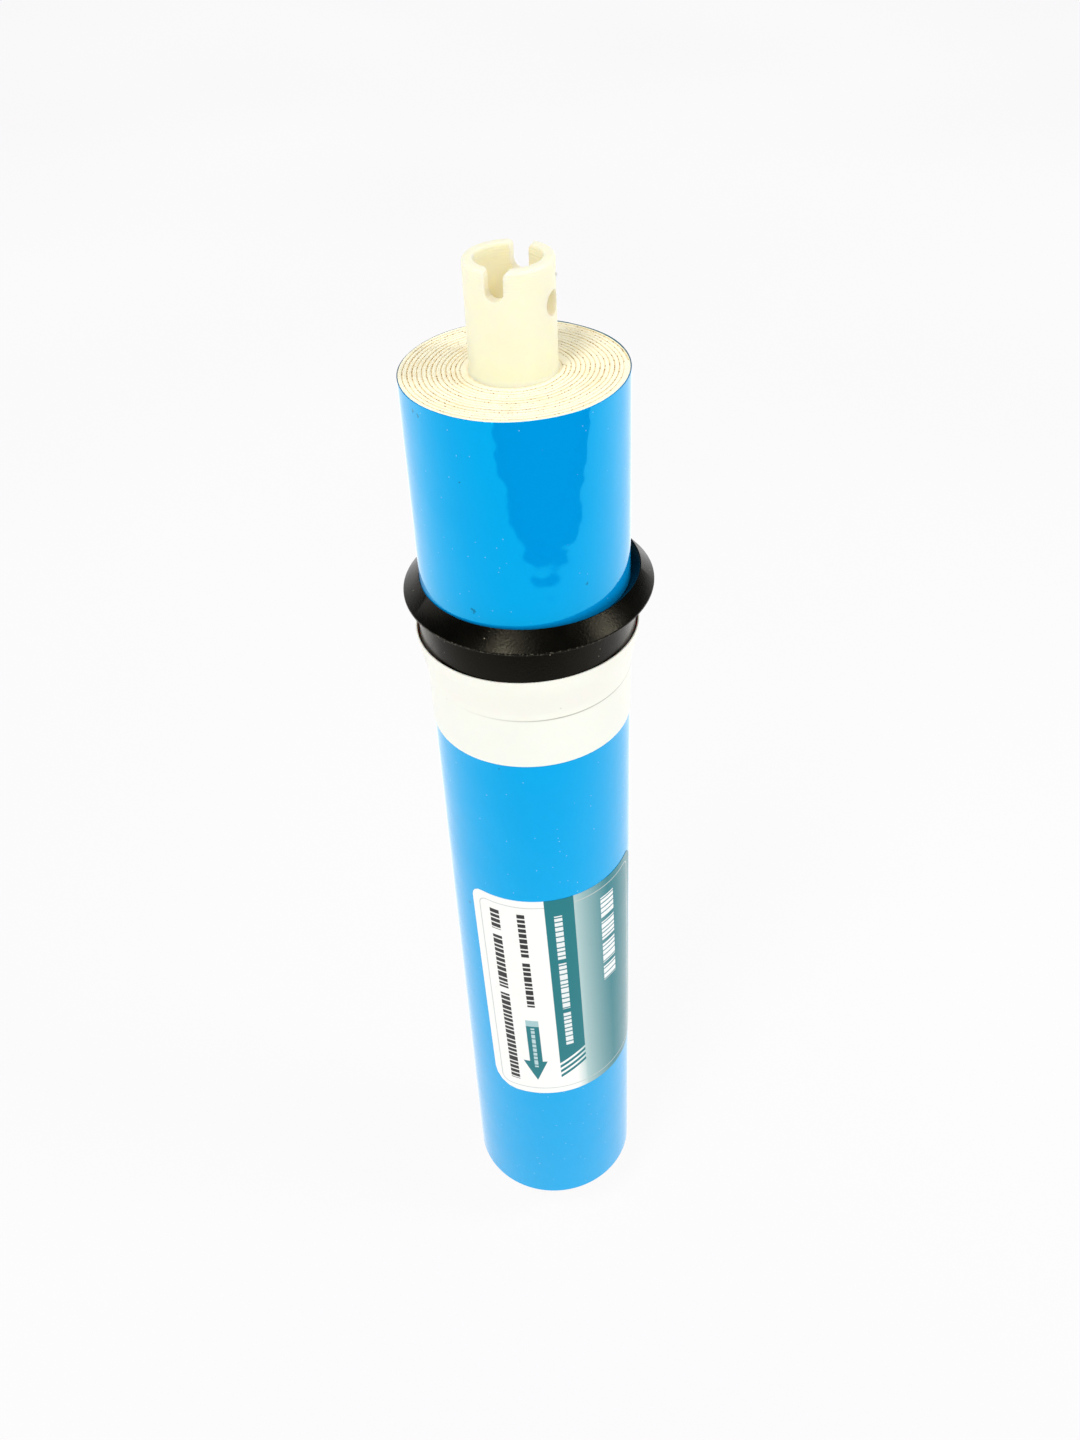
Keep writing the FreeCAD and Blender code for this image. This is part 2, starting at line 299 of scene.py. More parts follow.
def net_strand():
    """Extruded polypropylene net, seen end on between the turns: pale, with its cut ends painted tan as shade
    between the strands.
    """
    mat, tree, shader, where = start_material("net_polypropylene_tan", {"Roughness": 0.5, "IOR": 1.49})
    tone = add(tree, "TexNoise", {"Vector": where, "Scale": 1 / 0.9})
    # Painted shade: the tan cut ends at the face stand for the dark gaps between the strands
    cut = add(tree, "Mix", {"Factor": tone, 6: linear("#A07238"), 7: linear("#CDA86C")}, data_type="RGBA")
    colour = add(tree, "Mix", {"Factor": end_reach(tree, where, 0.21, 0.16), 6: linear("#F6E4B8"), 7: cut},
                 data_type="RGBA")
    plug(shader, {"Base Color": colour})
    return mat


def knit_cream():
    """Stiffened polyester knit: fine ribs along the tube, drawn 0.5 mm apart so that they show."""
    mat, tree, shader, where = start_material("knit_polyester_cream", {"Roughness": 0.8, "Sheen Weight": 0.1})
    ribs = add(tree, "TexWave", {"Vector": where, "Scale": 0.33, "Distortion": 0.6})
    colour = add(tree, "Mix", {"Factor": ribs, 6: linear("#F3E2B6"), 7: linear("#FBF1D2")}, data_type="RGBA")
    ridges = add(tree, "Bump", {"Height": ribs, "Distance": 0.05 * MM})
    plug(shader, {"Base Color": colour, "Normal": ridges})
    return mat


# Nicks in the film: azimuth in degrees, height and length
FILM_NICKS = [
    (-28.0, 233.5, 1.3), (32.7, 238.0, 0.9), (-58.4, 274.0, 0.8), (-54.0, 273.6, 0.7), (-30.0, 262.7, 0.5),
    (-20.7, 191.6, 0.5), (-72.0, 122.0, 1.2), (-53.0, 141.0, 0.9), (140.0, 180.0, 1.4), (95.0, 60.0, 1.0),
]


def film_blue():
    """Self-adhesive PVC film, pulled tight: saturated blue, glossy, with dust on it and small dark nicks."""
    mat, tree, shader, where = start_material("film_pvc_blue", {
        "IOR": 1.72, "Specular IOR Level": 1.0, "Specular Tint": linear("#00EEF2")})
    broad = add(tree, "TexNoise", {"Vector": where, "Scale": 1 / 30})
    tone = add(tree, "Mix", {"Factor": broad, 6: linear("#009AE6"), 7: linear("#00A1EC")}, data_type="RGBA")
    split = add(tree, "SeparateXYZ", {"Vector": where})
    settled = add(tree, "MapRange", {"Value": split.outputs["Z"], "From Min": SEAL_Z, "From Max": TAPE_FOOT_Z,
                                     "To Min": 0.4, "To Max": 0.75})
    dust = add(tree, "Math", {0: specks(tree, where, 2.0, 0.25, 0.6), 1: settled}, operation="MULTIPLY")
    dusty = add(tree, "Mix", {"Factor": dust, 6: tone, 7: linear("#BFE4FA")}, data_type="RGBA")
    marks = nicks(tree, where, FILM_NICKS)
    marked = add(tree, "Mix", {"Factor": marks, 6: dusty, 7: linear("#0B3E6E")}, data_type="RGBA")
    # Painted shade: a dark line along the film's top edge, towards the back
    at_edge = add(tree, "MapRange", {"Value": split.outputs["Z"], "From Min": FACE_Z - 0.12,
                                     "From Max": FACE_Z - 0.02})
    rear = add(tree, "MapRange", {"Value": split.outputs["Y"], "From Min": -16.0, "From Max": 0.0})
    painted_edge_shade = add(tree, "Math", {0: at_edge, 1: rear}, operation="MULTIPLY")
    colour = add(tree, "Mix", {"Factor": painted_edge_shade, 6: marked, 7: linear("#2A5578")}, data_type="RGBA")
    smear = add(tree, "TexNoise", {"Vector": where, "Scale": 1 / 12, "Detail": 3.0})
    rough = add(tree, "MapRange", {"Value": smear, "To Min": 0.025, "To Max": 0.07})
    slack = add(tree, "TexNoise", {"Vector": where, "Scale": 1 / 13, "Detail": 2.0})
    pull = add(tree, "Bump", {"Height": slack, "Distance": 0.19 * MM})
    plug(shader, {"Base Color": colour, "Roughness": rough, "Normal": pull})
    return mat


def rubber_black():
    """Moulded nitrile rubber: near black and half matt, with a painted reflection lightening the collar's sides
    grey, and dust on the lip.
    """
    collar_top_z = SEAL_Z - 5.6
    lip_middle = SEAL_Z - 3.75
    mat, tree, shader, where = start_material("rubber_nitrile_black", {
        "IOR": 1.22, "Specular IOR Level": 0.65, "Specular Tint": linear("#F0E6C8")})
    cloud = add(tree, "TexNoise", {"Vector": where, "Scale": 1 / 5, "Detail": 3.0})
    tone = add(tree, "Mix", {"Factor": cloud, 6: linear("#020202"), 7: linear("#080806")}, data_type="RGBA")
    split = add(tree, "SeparateXYZ", {"Vector": where})
    # Painted reflection: the collar's sides turn grey where the white table would be seen at a grazing angle
    aside = add(tree, "Math", {0: split.outputs["X"]}, operation="ABSOLUTE")
    painted_side_reflection = add(tree, "MapRange", {"Value": aside, "From Min": 18.5, "From Max": 24.0, "To Max": 0.9})
    on_collar = add(tree, "Math", {0: split.outputs["Z"], 1: collar_top_z}, operation="LESS_THAN")
    side_reflection_on_collar = add(tree, "Math", {0: painted_side_reflection, 1: on_collar}, operation="MULTIPLY")
    patchy = add(tree, "Math", {0: side_reflection_on_collar, 1: cloud}, operation="MULTIPLY")
    tone = add(tree, "Mix", {"Factor": patchy, 6: tone, 7: linear("#8E8C84")}, data_type="RGBA")
    at_lip = add(tree, "Math", {0: split.outputs["Z"], 1: lip_middle, 2: 0.3}, operation="COMPARE")
    fine = add(tree, "TexNoise", {"Vector": where, "Scale": 1 / 0.5, "Detail": 2.0})
    clung = add(tree, "MapRange", {"Value": fine, "From Min": 0.5, "From Max": 0.8, "To Max": 0.3})
    line = add(tree, "Math", {0: at_lip, 1: clung}, operation="MULTIPLY")
    loose = add(tree, "Math", {0: specks(tree, where, 2.0, 0.3, 0.6), 1: 0.45}, operation="MULTIPLY")
    dust = add(tree, "Math", {0: line, 1: loose}, operation="MAXIMUM")
    colour = add(tree, "Mix", {"Factor": dust, 6: tone, 7: linear("#A9A48C")}, data_type="RGBA")
    smear = add(tree, "TexNoise", {"Vector": where, "Scale": 1 / 3, "Detail": 3.0})
    rough = add(tree, "MapRange", {"Value": smear, "To Min": 0.2, "To Max": 0.34})
    grain = add(tree, "TexNoise", {"Vector": where, "Scale": 1 / 0.5, "Detail": 3.0})
    skin = add(tree, "Bump", {"Height": grain, "Distance": 0.03 * MM})
    plug(shader, {"Base Color": colour, "Roughness": rough, "Normal": skin})
    return mat


def tape_white():
    """Soft PVC tape: warm white and satin, with small specks and trapped bubbles."""
    mat, tree, shader, where = start_material("tape_pvc_white", {
        "IOR": 1.52, "Subsurface Weight": 0.1, "Subsurface Scale": 0.001})
    cloud = add(tree, "TexNoise", {"Vector": where, "Scale": 1 / 9, "Detail": 3.0})
    tone = add(tree, "Mix", {"Factor": cloud, 6: linear("#FCF9EC"), 7: linear("#FDFBF1")}, data_type="RGBA")
    marks = add(tree, "Math", {0: specks(tree, where, 4.2, 0.4, 0.7), 1: 0.3}, operation="MULTIPLY")
    marked = add(tree, "Mix", {"Factor": marks, 6: tone, 7: linear("#A9A08A")}, data_type="RGBA")
    # Painted shadow: a grey line under the upper turn's lower edge, fading out towards the left
    split = add(tree, "SeparateXYZ", {"Vector": where})
    at_seam = add(tree, "Math", {0: split.outputs["Z"], 1: SEAM_Z, 2: 0.22}, operation="COMPARE")
    seam_shadow_fade = add(tree, "MapRange", {"Value": split.outputs["X"], "From Min": -16.0, "From Max": 6.0,
                                   "To Max": 0.7})
    painted_seam_shadow = add(tree, "Math", {0: at_seam, 1: seam_shadow_fade}, operation="MULTIPLY")
    colour = add(tree, "Mix", {"Factor": painted_seam_shadow, 6: marked, 7: linear("#A8A595")}, data_type="RGBA")
    rough = add(tree, "MapRange", {"Value": cloud, "To Min": 0.36, "To Max": 0.48})
    grain = add(tree, "TexNoise", {"Vector": where, "Scale": 1 / 3, "Detail": 3.0})
    bubbles = specks(tree, where, 5.0, 1.1, 0.12)
    lumps = add(tree, "Math", {0: bubbles, 1: 0.4, 2: grain}, operation="MULTIPLY_ADD")
    skin = add(tree, "Bump", {"Height": lumps, "Distance": 0.05 * MM})
    plug(shader, {"Base Color": colour, "Roughness": rough, "Normal": skin})
    return mat


def ring_rubber():
    """Moulded EPDM rubber: black, smooth and slightly greasy."""
    mat, tree, shader, where = start_material("rubber_epdm_black", {"IOR": 1.5})
    cloud = add(tree, "TexNoise", {"Vector": where, "Scale": 1 / 1.5, "Detail": 3.0})
    tone = add(tree, "Mix", {"Factor": cloud, 6: linear("#101010"), 7: linear("#1D1D1C")}, data_type="RGBA")
    rough = add(tree, "MapRange", {"Value": cloud, "To Min": 0.24, "To Max": 0.4})
    plug(shader, {"Base Color": tone, "Roughness": rough})
    return mat


# Core tube
SLOT_WIDTH = 3.7
SLOT_DEPTH = 5.6
SLOT_FLARE = 1.2
SLOT_AZIMUTH = -20.0
SIDE_HOLE_R = 2.4
SIDE_HOLE_DROP = 8.0
SIDE_HOLE_AZIMUTH = 66.0
INLET_R = 1.25
INLET_PITCH = 56.0
INLET_TURN = 90.0
INLETS = 4
INLET_FIRST_Z = FOOT_Z + 29.0
CUP_DEPTH = 16.0
WEB_THICK = 3.0
GROOVE_DEPTH = 1.25
GROOVE_WIDTH = 2.4


def cutter(bm, name):
    """An object that a Boolean cuts with."""
    bmesh.ops.recalc_face_normals(bm, faces=bm.faces)
    mesh = bpy.data.meshes.new(name)
    bm.to_mesh(mesh)
    bm.free()
    made = bpy.data.objects.new(name, mesh)
    bpy.context.scene.collection.objects.link(made)
    return made


def slot_cutter():
    """Both slots in one push through the tube: round floor, straight sides, flared upper corners."""
    half = SLOT_WIDTH / 2
    wide = half + 2 * SLOT_FLARE
    over = RIM_Z + 2
    outline = [(-half, RIM_Z - SLOT_DEPTH, half * 0.98), (half, RIM_Z - SLOT_DEPTH, half * 0.98),
               (half, RIM_Z, SLOT_FLARE), (wide, RIM_Z), (wide, over), (-wide, over), (-wide, RIM_Z),
               (-half, RIM_Z, SLOT_FLARE)]
    bm = bmesh.new()
    reach = 2 * STUB_R * MM
    face = bm.faces.new([bm.verts.new((p.x * MM, -reach, p.y * MM)) for p in rounded(outline)])
    pushed = bmesh.ops.extrude_face_region(bm, geom=[face])["geom"]
    far_side = [g for g in pushed if isinstance(g, bmesh.types.BMVert)]
    bmesh.ops.translate(bm, vec=(0, 2 * reach, 0), verts=far_side)
    turn = Matrix.Rotation(math.radians(SLOT_AZIMUTH), 3, "Z")
    bmesh.ops.rotate(bm, cent=(0, 0, 0), matrix=turn, verts=bm.verts)
    return cutter(bm, "slot_cutter")


def hole_cutter():
    """The round holes across the tube: the pair under the rim and the inlets inside the roll."""
    bm = bmesh.new()
    holes = [(RIM_Z - SIDE_HOLE_DROP, SIDE_HOLE_AZIMUTH, SIDE_HOLE_R, 0.0)]
    holes += [(INLET_FIRST_Z + k * INLET_PITCH, INLET_TURN * k, INLET_R, STUB_R) for k in range(INLETS)]
    for z, azimuth, radius, outwards in holes:
        turn = Matrix.Rotation(math.radians(azimuth), 4, "Z")
        lay = Matrix.Translation((0, -outwards * MM, z * MM)) @ Matrix.Rotation(math.pi / 2, 4, "X")
        depth = 4 * STUB_R if not outwards else STUB_R
        bmesh.ops.create_cone(bm, cap_ends=True, segments=48, radius1=radius * MM, radius2=radius * MM,
                              depth=depth * MM, matrix=turn @ lay)
    return cutter(bm, "hole_cutter")


def core_tube(mat):
    """The core tube: stub with two ring grooves, wound length, web, cup and slotted rim."""
    web = RIM_Z - CUP_DEPTH
    outline = [(BORE_R, 0, 0.4), (STUB_R, 0, 0.6)]
    for node in ("o_ring_lower", "o_ring_upper"):
        middle = (foot_of(node) + top_of(node)) / 2
        floor = STUB_R - GROOVE_DEPTH
        outline += [(STUB_R, middle - GROOVE_WIDTH / 2, 0.12), (floor, middle - GROOVE_WIDTH / 2, 0.2),
                    (floor, middle + GROOVE_WIDTH / 2, 0.2), (STUB_R, middle + GROOVE_WIDTH / 2, 0.12)]
    outline += [
        (STUB_R, FOOT_Z), (CORE_R, FOOT_Z), (CORE_R, FACE_Z), (STUB_R, FACE_Z + 0.7, 1.5),
        (STUB_R, RIM_Z, 0.6), (BORE_R, RIM_Z, 0.4), (BORE_R, web, 1.0), (0, web),
        (0, web - WEB_THICK), (BORE_R, web - WEB_THICK, 0.3),
    ]
    piece = finish_piece(lathe(outline, steps=128), "core_tube", mat, ["permeate_tube"])
    cutters = [slot_cutter(), hole_cutter()]
    for tool in cutters:
        cut = piece.modifiers.new(tool.name, "BOOLEAN")
        cut.operation = "DIFFERENCE"
        cut.solver = "EXACT"
        cut.object = tool
    soft = piece.modifiers.new("soft_edges", "BEVEL")
    soft.width = 0.28 * MM
    soft.segments = 3
    soft.limit_method = "ANGLE"
    soft.angle_limit = math.radians(50)
    soft.harden_normals = True
    done = bpy.data.meshes.new_from_object(piece.evaluated_get(bpy.context.evaluated_depsgraph_get()))
    piece.modifiers.clear()
    piece.data = done
    for tool in cutters:
        bpy.data.objects.remove(tool)
    return piece


NUB_R = 0.4
NUB_DROP = 3.6
NUB_AZIMUTH = 82


def gate_nub(mat):
    """The little nub of plastic left on the tube under the rim."""
    bm = bmesh.new()
    angle = math.radians(NUB_AZIMUTH)
    spot = Vector((STUB_R * math.sin(angle), -STUB_R * math.cos(angle), RIM_Z - NUB_DROP)) * MM
    bmesh.ops.create_icosphere(bm, subdivisions=3, radius=NUB_R * MM)
    bmesh.ops.scale(bm, vec=(0.7, 1.0, 0.8), verts=bm.verts)
    bmesh.ops.rotate(bm, cent=(0, 0, 0), matrix=Matrix.Rotation(angle - math.pi / 2, 3, "Z"), verts=bm.verts)
    bmesh.ops.translate(bm, vec=spot, verts=bm.verts)
    return finish_piece(bm, "gate_nub", mat)


# Wound roll: a strip laid out straight, then bent into its spiral
LEAF_THICK = 0.515
CHANNEL_WIDTH = 0.42
TURN_PITCH = LEAF_THICK + CHANNEL_WIDTH
TURNS = 13
STEPS_A_TURN = 96
CHANNEL_MIDDLE_R = CARRIER_R + LEAF_THICK + CHANNEL_WIDTH / 2
CUT_ROUND = 0.07
CUT_CROWN = 0.02
FRAY = 0.2
FRAY_DEPTH = 0.6


def spiral_point(turn, radius, z):
    """A point on the spiral, which winds clockwise from +X seen from above. Its turns stray a little."""
    angle = -2 * math.pi * turn
    free = 1 - ease(radius, ROLL_R - 3, ROLL_R)
    stray = 0.07 * math.sin(3 * angle + 0.8) + 0.05 * math.sin(5 * angle + 2.1) + 0.03 * math.sin(11 * angle)
    radius += free * stray
    return Vector((radius * math.cos(angle), radius * math.sin(angle), z)) * MM


def strip(section, turns):
    """A closed section of (across, z) points carried along +X, one unit a turn, with capped ends."""
    one = bmesh.new()
    ring = [one.verts.new((0, across, z)) for across, z in section]
    edges = [one.edges.new((a, b)) for a, b in zip(ring, ring[1:] + ring[:1])]
    bmesh.ops.spin(one, geom=ring + edges, cent=(0, 0, 0), axis=(0, 0, 1), angle=0,
                   dvec=(1 / STEPS_A_TURN, 0, 0), steps=STEPS_A_TURN, use_duplicate=False)
    mesh = bpy.data.meshes.new("one_turn")
    one.to_mesh(mesh)
    one.free()
    bm = bmesh.new()
    for _ in range(turns):
        bmesh.ops.translate(bm, vec=(1, 0, 0), verts=bm.verts)
        bm.from_mesh(mesh)
    bpy.data.meshes.remove(mesh)
    bmesh.ops.remove_doubles(bm, verts=bm.verts, dist=1e-4)
    bmesh.ops.holes_fill(bm, edges=bm.edges, sides=0)
    return bm


def wound_leaf(mat):
    """The leaf. Its first turn fills up to the carrier's ring, and its last turn fills out to the film."""
    low, high = FOOT_Z, FACE_Z
    section = [
        (0, low + FRAY_DEPTH), (0, high - FRAY_DEPTH), (-FRAY, high - CUT_ROUND), (0, high),
        (0.5, high + CUT_CROWN), (1, high), (1 + FRAY, high - CUT_ROUND), (1, high - FRAY_DEPTH),
        (1, low + FRAY_DEPTH), (1 + FRAY, low + CUT_ROUND), (1, low), (0.5, low - CUT_CROWN),
        (0, low), (-FRAY, low + CUT_ROUND),
    ]
    bm = strip(section, TURNS + 1)
    for v in bm.verts:
        turn, across, z = v.co
        inner = CARRIER_R if turn < 1 else CARRIER_R + TURN_PITCH * turn
        outer = CARRIER_R + LEAF_THICK + TURN_PITCH * turn if turn < TURNS else ROLL_R
        rise = 0.05 * math.sin(4.7 * turn) if z > (low + high) / 2 else 0
        inside = across < 0 and turn < 1 or across > 1 and turn > TURNS
        across = min(max(across, 0.0), 1.0) if inside else across
        v.co = spiral_point(turn, inner + (outer - inner) * across, z + rise)
    return finish_piece(bm, "wound_leaf", mat, ["membrane_roll"])


WEAVE_DROP = 0.52
WEAVE_HALF = 0.3
WEAVE_CLEARANCE = 0.03


def net_floor(mat):
    """The net's weave behind its cut ends closes the channel, at both ends of the roll."""
    bm = bmesh.new()
    half = CHANNEL_WIDTH / 2 - WEAVE_CLEARANCE
    for z in (FACE_Z - WEAVE_DROP, FOOT_Z + WEAVE_DROP):
        low, high = z - WEAVE_HALF, z + WEAVE_HALF
        part = strip([(-half, low), (half, low), (half, high), (-half, high)], TURNS)
        for v in part.verts:
            turn, across, height = v.co
            v.co = spiral_point(turn, CHANNEL_MIDDLE_R + TURN_PITCH * turn + across, height)
        take_in(bm, part)
    return finish_piece(bm, "net_floor", mat)


STRAND_SPACING = 0.8
STRAND_R = 0.13
STRAND_LEN = 1.4
STRAND_DROP = 0.11


def net_ends(mat):
    """Cut ends of the net's strands, a row of dots between the turns at both ends of the roll."""
    pick = random.Random(7)
    bm = bmesh.new()
    turn = 0.02
    while turn < TURNS:
        part = bmesh.new()
        stop = min(turn + 0.3, TURNS)
        while turn < stop:
            radius = CHANNEL_MIDDLE_R + TURN_PITCH * turn
            for side, face in ((1, FACE_Z), (-1, FOOT_Z)):
                drop = STRAND_DROP + pick.uniform(-0.1, 0.2)
                spot = Matrix.Translation(spiral_point(turn, radius, face - side * (drop + STRAND_LEN / 2)))
                lean = Matrix.Rotation(pick.uniform(-0.25, 0.25), 4, "Y")
                along = Matrix.Rotation(-2 * math.pi * turn, 4, "Z")
                bmesh.ops.create_cone(part, cap_ends=True, segments=5, depth=STRAND_LEN * MM,
                                      radius1=STRAND_R * MM, radius2=STRAND_R * MM,
                                      matrix=spot @ along @ lean)
            turn += STRAND_SPACING * pick.uniform(0.8, 1.2) / (2 * math.pi * radius)
        take_in(bm, part)
    return finish_piece(bm, "net_ends", mat)


# Blue film
def film_wrap(mat):
    """The film round the roll, with a lap at the back and a cut edge that stands a little proud there."""
    outline = [(ROLL_R, FOOT_Z), (WRAP_R, FOOT_Z, 0.06), (WRAP_R, FACE_Z, 0.06), (ROLL_R, FACE_Z)]
    bm = lathe(outline, steps=256)

    def shape(radius, azimuth, z):
        lap = 0.07 * ease(azimuth, 148, 149.2) * (radius > (ROLL_R + WRAP_R) / 2)
        proud = 0.16 * max(0.0, math.cos(math.radians(azimuth - 125)))
        wave = 0.04 * math.sin(math.radians(7 * azimuth))
        return radius + lap, z + (proud + wave if z > FACE_Z - 1 else 0)

    reshape(bm, shape)
    return finish_piece(bm, "film_wrap", mat, ["outer_wrap"])


# Brine seal
SEAL_EDGE = 0.8
SEAL_GROOVE_DEPTH = 1.6
LIP_FALL = 3.5
LIP_LAND = 0.4
COLLAR_FALL = 2.4
SKIRT_TAPER_DROP = 3.5


def seal_ring(mat):
    """The seal: a lip that flares down and out, a collar and a skirt that thins out under the tape."""
    lip_z = SEAL_Z - LIP_FALL
    outline = [
        (WRAP_R, SKIRT_Z), (WRAP_R, SEAL_Z - SEAL_GROOVE_DEPTH, 0.1), (WRAP_R + SEAL_EDGE, SEAL_Z, 0.12),
        (LIP_R, lip_z, 0.18), (LIP_R, lip_z - LIP_LAND, 0.14), (COLLAR_R, lip_z - COLLAR_FALL, 0.9),
        (COLLAR_R, TAPE_TOP_Z - SKIRT_TAPER_DROP, 2.0),
    ]
    bm = lathe(outline)

    def shape(radius, azimuth, z):
        gap = 0.9 * max(0.0, math.cos(math.radians(azimuth - 100))) * (radius < COLLAR_R)
        loose = ease(radius, WRAP_R, COLLAR_R) * ease(z, SEAL_Z - 8, SEAL_Z - 4)
        aside = (0.7 * math.sin(math.radians(azimuth)) - 0.2) * loose
        rise = 0.5 * max(0.0, math.sin(math.radians(azimuth))) ** 2 * loose
        return radius + aside + gap * ease(z, SEAL_Z - 1.2, SEAL_Z - 0.2), z + rise

    reshape(bm, shape)
    return finish_piece(bm, "seal_ring", mat, ["brine_seal"])


# Tape
SEAM_Z = FACE_Z - 69.9
TAPE_LAYER = 0.14


def tape_band(mat):
    """Two turns of tape. The upper turn's lower edge is a step that is pressed flat towards the left."""
    taper = TAPE_TOP_Z - 3.0
    over_collar = COLLAR_R + 2 * TAPE_LAYER
    over_film = WRAP_R + 2 * TAPE_LAYER
    single = WRAP_R + TAPE_LAYER
    outline = [
        (WRAP_R, TAPE_FOOT_Z), (WRAP_R, SKIRT_Z), (COLLAR_R, taper), (COLLAR_R, TAPE_TOP_Z),
        (over_collar, TAPE_TOP_Z, 0.08), (over_collar, taper, 12.0), (over_film, SKIRT_Z - 1, 8.0),
        (over_film, SEAM_Z, 0.04), (single, SEAM_Z), (single, TAPE_FOOT_Z, 0.05),
    ]
    bm = lathe(outline, steps=256)

    def shape(radius, azimuth, z):
        on_seam = abs(z - SEAM_Z) < 0.2
        if on_seam and radius > WRAP_R + TAPE_LAYER * 1.3:
            pressed = 1 - ease(azimuth, -45, 5) * (1 - ease(azimuth, 120, 170))
            radius -= 0.8 * TAPE_LAYER * pressed
        on_edge = on_seam or abs(z - TAPE_TOP_Z) < 0.2 or abs(z - TAPE_FOOT_Z) < 0.2
        loose = 0.5 * ease(z, TAPE_TOP_Z - 6, TAPE_TOP_Z) * math.sin(math.radians(azimuth)) ** 2
        return radius + loose, z + (0.12 * math.sin(math.radians(2 * azimuth) + 0.6) if on_edge else 0)

    reshape(bm, shape)
    return finish_piece(bm, "tape_band", mat, ["seal_tape"])


# Label
LABEL_WIDTH = 49.0
LABEL_HEIGHT = 77.5
LABEL_MIDDLE_Z = FOOT_Z + 89.0
LABEL_MIDDLE_ARC = 6.5
LABEL_TILT = math.radians(2.0)
LABEL_THICK = 0.1
TOP_ROUND = 3.5
FOOT_ROUND = 6.5


def label_sheet(mat):
    """A flat sheet with rounded corners, divided, thickened, given its print map and laid round the film."""
    half_w, half_h = LABEL_WIDTH / 2, LABEL_HEIGHT / 2
    outline = [
        (-half_w, -half_h, FOOT_ROUND), (half_w, -half_h, FOOT_ROUND),
        (half_w, half_h, TOP_ROUND), (-half_w, half_h, TOP_ROUND),
    ]
    bm = bmesh.new()
    bm.faces.new([bm.verts.new((p.x, p.y, 0)) for p in rounded(outline)])
    for across, half, step in ((Vector((1, 0, 0)), half_w, 1.0), (Vector((0, 1, 0)), half_h, 6.0)):
        for k in range(1, int(2 * half / step)):
            bmesh.ops.bisect_plane(bm, geom=bm.verts[:] + bm.edges[:] + bm.faces[:],
                                   plane_co=across * (k * step - half), plane_no=across)
    pushed = bmesh.ops.extrude_face_region(bm, geom=bm.faces[:])["geom"]
    top = [g for g in pushed if isinstance(g, bmesh.types.BMVert)]
    bmesh.ops.translate(bm, vec=(0, 0, LABEL_THICK), verts=top)
    print_map = bm.loops.layers.uv.new("print")
    for face in bm.faces:
        for loop in face.loops:
            loop[print_map].uv = (loop.vert.co.x / LABEL_WIDTH + 0.5, loop.vert.co.y / LABEL_HEIGHT + 0.5)
    for v in bm.verts:
        s, t, up = v.co
        arc = LABEL_MIDDLE_ARC + s * math.cos(LABEL_TILT) - t * math.sin(LABEL_TILT)
        z = LABEL_MIDDLE_Z + s * math.sin(LABEL_TILT) + t * math.cos(LABEL_TILT)
        curl = 0.12 * ease(s, half_w - 2.5, half_w) * ease(t, 10, half_h)
        radius = WRAP_R + up + curl
        v.co = Vector((radius * math.sin(arc / WRAP_R), -radius * math.cos(arc / WRAP_R), z)) * MM
    return finish_piece(bm, "label_sheet", mat, ["label"])


def field(tree, flat, corners):
    """1 inside a convex field of the print. Its corners run anticlockwise, in millimetres from the middle."""
    inside = 100.0
    for a, b in zip(corners, corners[1:] + corners[:1]):
        along = (Vector(b) - Vector(a)).normalized()
        inward = (-along.y, along.x, along.y * a[0] - along.x * a[1])
        depth = add(tree, "VectorMath", {0: flat, 1: inward}, operation="DOT_PRODUCT")
        inside = add(tree, "Math", {0: depth.outputs["Value"], 1: inside}, operation="MINIMUM")
    return add(tree, "MapRange", {"Value": inside, "From Min": -0.04, "From Max": 0.04})


def bars(tree, flat, middle, half, spans):
    """A row of plain bars one under the other, for words that the label would carry."""
    total = 0.0
    for top, foot in spans:
        corners = [(middle - half, foot), (middle + half, foot), (middle + half, top), (middle - half, top)]
        total = add(tree, "Math", {0: field(tree, flat, corners), 1: total}, operation="MAXIMUM")
    return total


